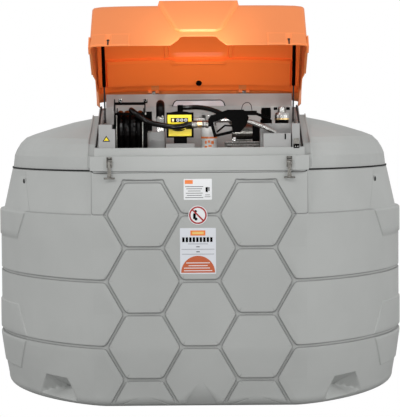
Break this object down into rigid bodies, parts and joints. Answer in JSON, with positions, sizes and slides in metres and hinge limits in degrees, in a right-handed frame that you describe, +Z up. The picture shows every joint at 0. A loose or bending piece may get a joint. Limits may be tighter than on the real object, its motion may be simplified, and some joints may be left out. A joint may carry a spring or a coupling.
{
  "type": "bunded diesel fuel tank",
  "caption": "Double-walled moulded diesel tank with hexagon-grooved walls and a lidded front pump bay holding hose reel, meter, filter and nozzle.",
  "frame": {"origin": "on the floor under the middle of the base", "axes": "+X to the right along the longest side, +Y to the back, +Z up; the pump bay faces -Y"},
  "size_m": [2.3, 2.1795, 2.1477],
  "materials": {
    "grey": "fine matt moulded grain",
    "orange": "satin moulded",
    "steel": "zinc plated",
    "black_plastic": "satin",
    "rubber": "smooth hose cover",
    "yellow": "semi-gloss",
    "white_enamel": "gloss enamel"
  },
  "bodies": {
    "tank": {"outer_tank": "grey", "inner_tank": "grey", "tank_cover": "grey", "pump_bay": "grey", "hinge_left": "steel", "hinge_right": "steel", "strut_foot_left": "steel", "strut_foot_right": "steel", "latch_plate_left": "steel", "latch_plate_right": "steel", "reel_frame": "black_plastic", "hose_lead": "rubber", "hose_swivel": "steel", "meter_body": "black_plastic", "meter_face": "yellow", "filter_can": "white_enamel", "filter_head": "steel", "pump_motor": "steel", "pump_base": "steel", "terminal_box": "black_plastic", "suction_bend": "rubber", "pump_hose": "rubber", "nozzle_body": "black_plastic", "nozzle_spout": "steel", "nozzle_holster": "grey", "filler_coupling": "black_plastic", "filler_cap": "steel", "vent_cap": "black_plastic", "reel_bars": "steel", "suction_fitting": "steel", "lid_lock": "steel"},
    "lid": {"lid": "orange", "lid_hinge_left": "steel", "lid_hinge_right": "steel", "lid_stud_left": "steel", "lid_stud_right": "steel"},
    "strut_rod_left": {"strut_rod_left": "steel"},
    "strut_rod_right": {"strut_rod_right": "steel"},
    "strut_cylinder_left": {"strut_cylinder_left": "black_plastic"},
    "strut_cylinder_right": {"strut_cylinder_right": "black_plastic"},
    "latch_lever_left": {"latch_lever_left": "steel"},
    "latch_lever_right": {"latch_lever_right": "steel"},
    "reel": {"reel_drum": "black_plastic", "hose_winding": "rubber"},
    "trigger": {"nozzle_trigger": "black_plastic"}
  },
  "joints": [
    {"name": "lid_hinge", "type": "hinge", "parent": "tank", "child": "lid", "pos_m": [0, -0.455, 1.664], "axis": [1, 0, 0], "range_deg": [0, 48.5]},
    {"name": "strut_swing_left", "type": "hinge", "parent": "tank", "child": "strut_rod_left", "pos_m": [-0.515, -0.555, 1.504], "axis": [1, 0, 0], "range_deg": [-0.5, 44.2]},
    {"name": "strut_slide_left", "type": "slide", "parent": "strut_rod_left", "child": "strut_cylinder_left", "axis": [0, -0.4014, 0.9159], "range_m": [-0.1525, 0.001]},
    {"name": "strut_swing_right", "type": "hinge", "parent": "tank", "child": "strut_rod_right", "pos_m": [0.515, -0.555, 1.504], "axis": [1, 0, 0], "range_deg": [-0.5, 44.2]},
    {"name": "strut_slide_right", "type": "slide", "parent": "strut_rod_right", "child": "strut_cylinder_right", "axis": [0, -0.4014, 0.9159], "range_m": [-0.1525, 0.001]},
    {"name": "latch_swing_left", "type": "hinge", "parent": "tank", "child": "latch_lever_left", "pos_m": [-0.469, -1.087, 1.292], "axis": [-1, 0, 0], "range_deg": [0, 100]},
    {"name": "latch_swing_right", "type": "hinge", "parent": "tank", "child": "latch_lever_right", "pos_m": [0.469, -1.087, 1.292], "axis": [-1, 0, 0], "range_deg": [0, 100]},
    {"name": "reel_spin", "type": "hinge", "parent": "tank", "child": "reel", "pos_m": [-0.367, -0.79, 1.452], "axis": [1, 0, 0], "continuous": true},
    {"name": "trigger_squeeze", "type": "hinge", "parent": "tank", "child": "trigger", "pos_m": [0.184, -0.94, 1.476], "axis": [0, 1, 0], "range_deg": [0, 12], "stiffness_Nm_per_rad": 0.5, "springref_deg": -2.86}
  ],
  "couplings": [
    {"joint": "strut_swing_left", "follows": "lid_hinge", "ratio": 0.9013},
    {"joint": "strut_slide_left", "follows": "lid_hinge", "m_per_rad": -0.17893},
    {"joint": "strut_swing_right", "follows": "lid_hinge", "ratio": 0.9013},
    {"joint": "strut_slide_right", "follows": "lid_hinge", "m_per_rad": -0.17893}
  ]
}
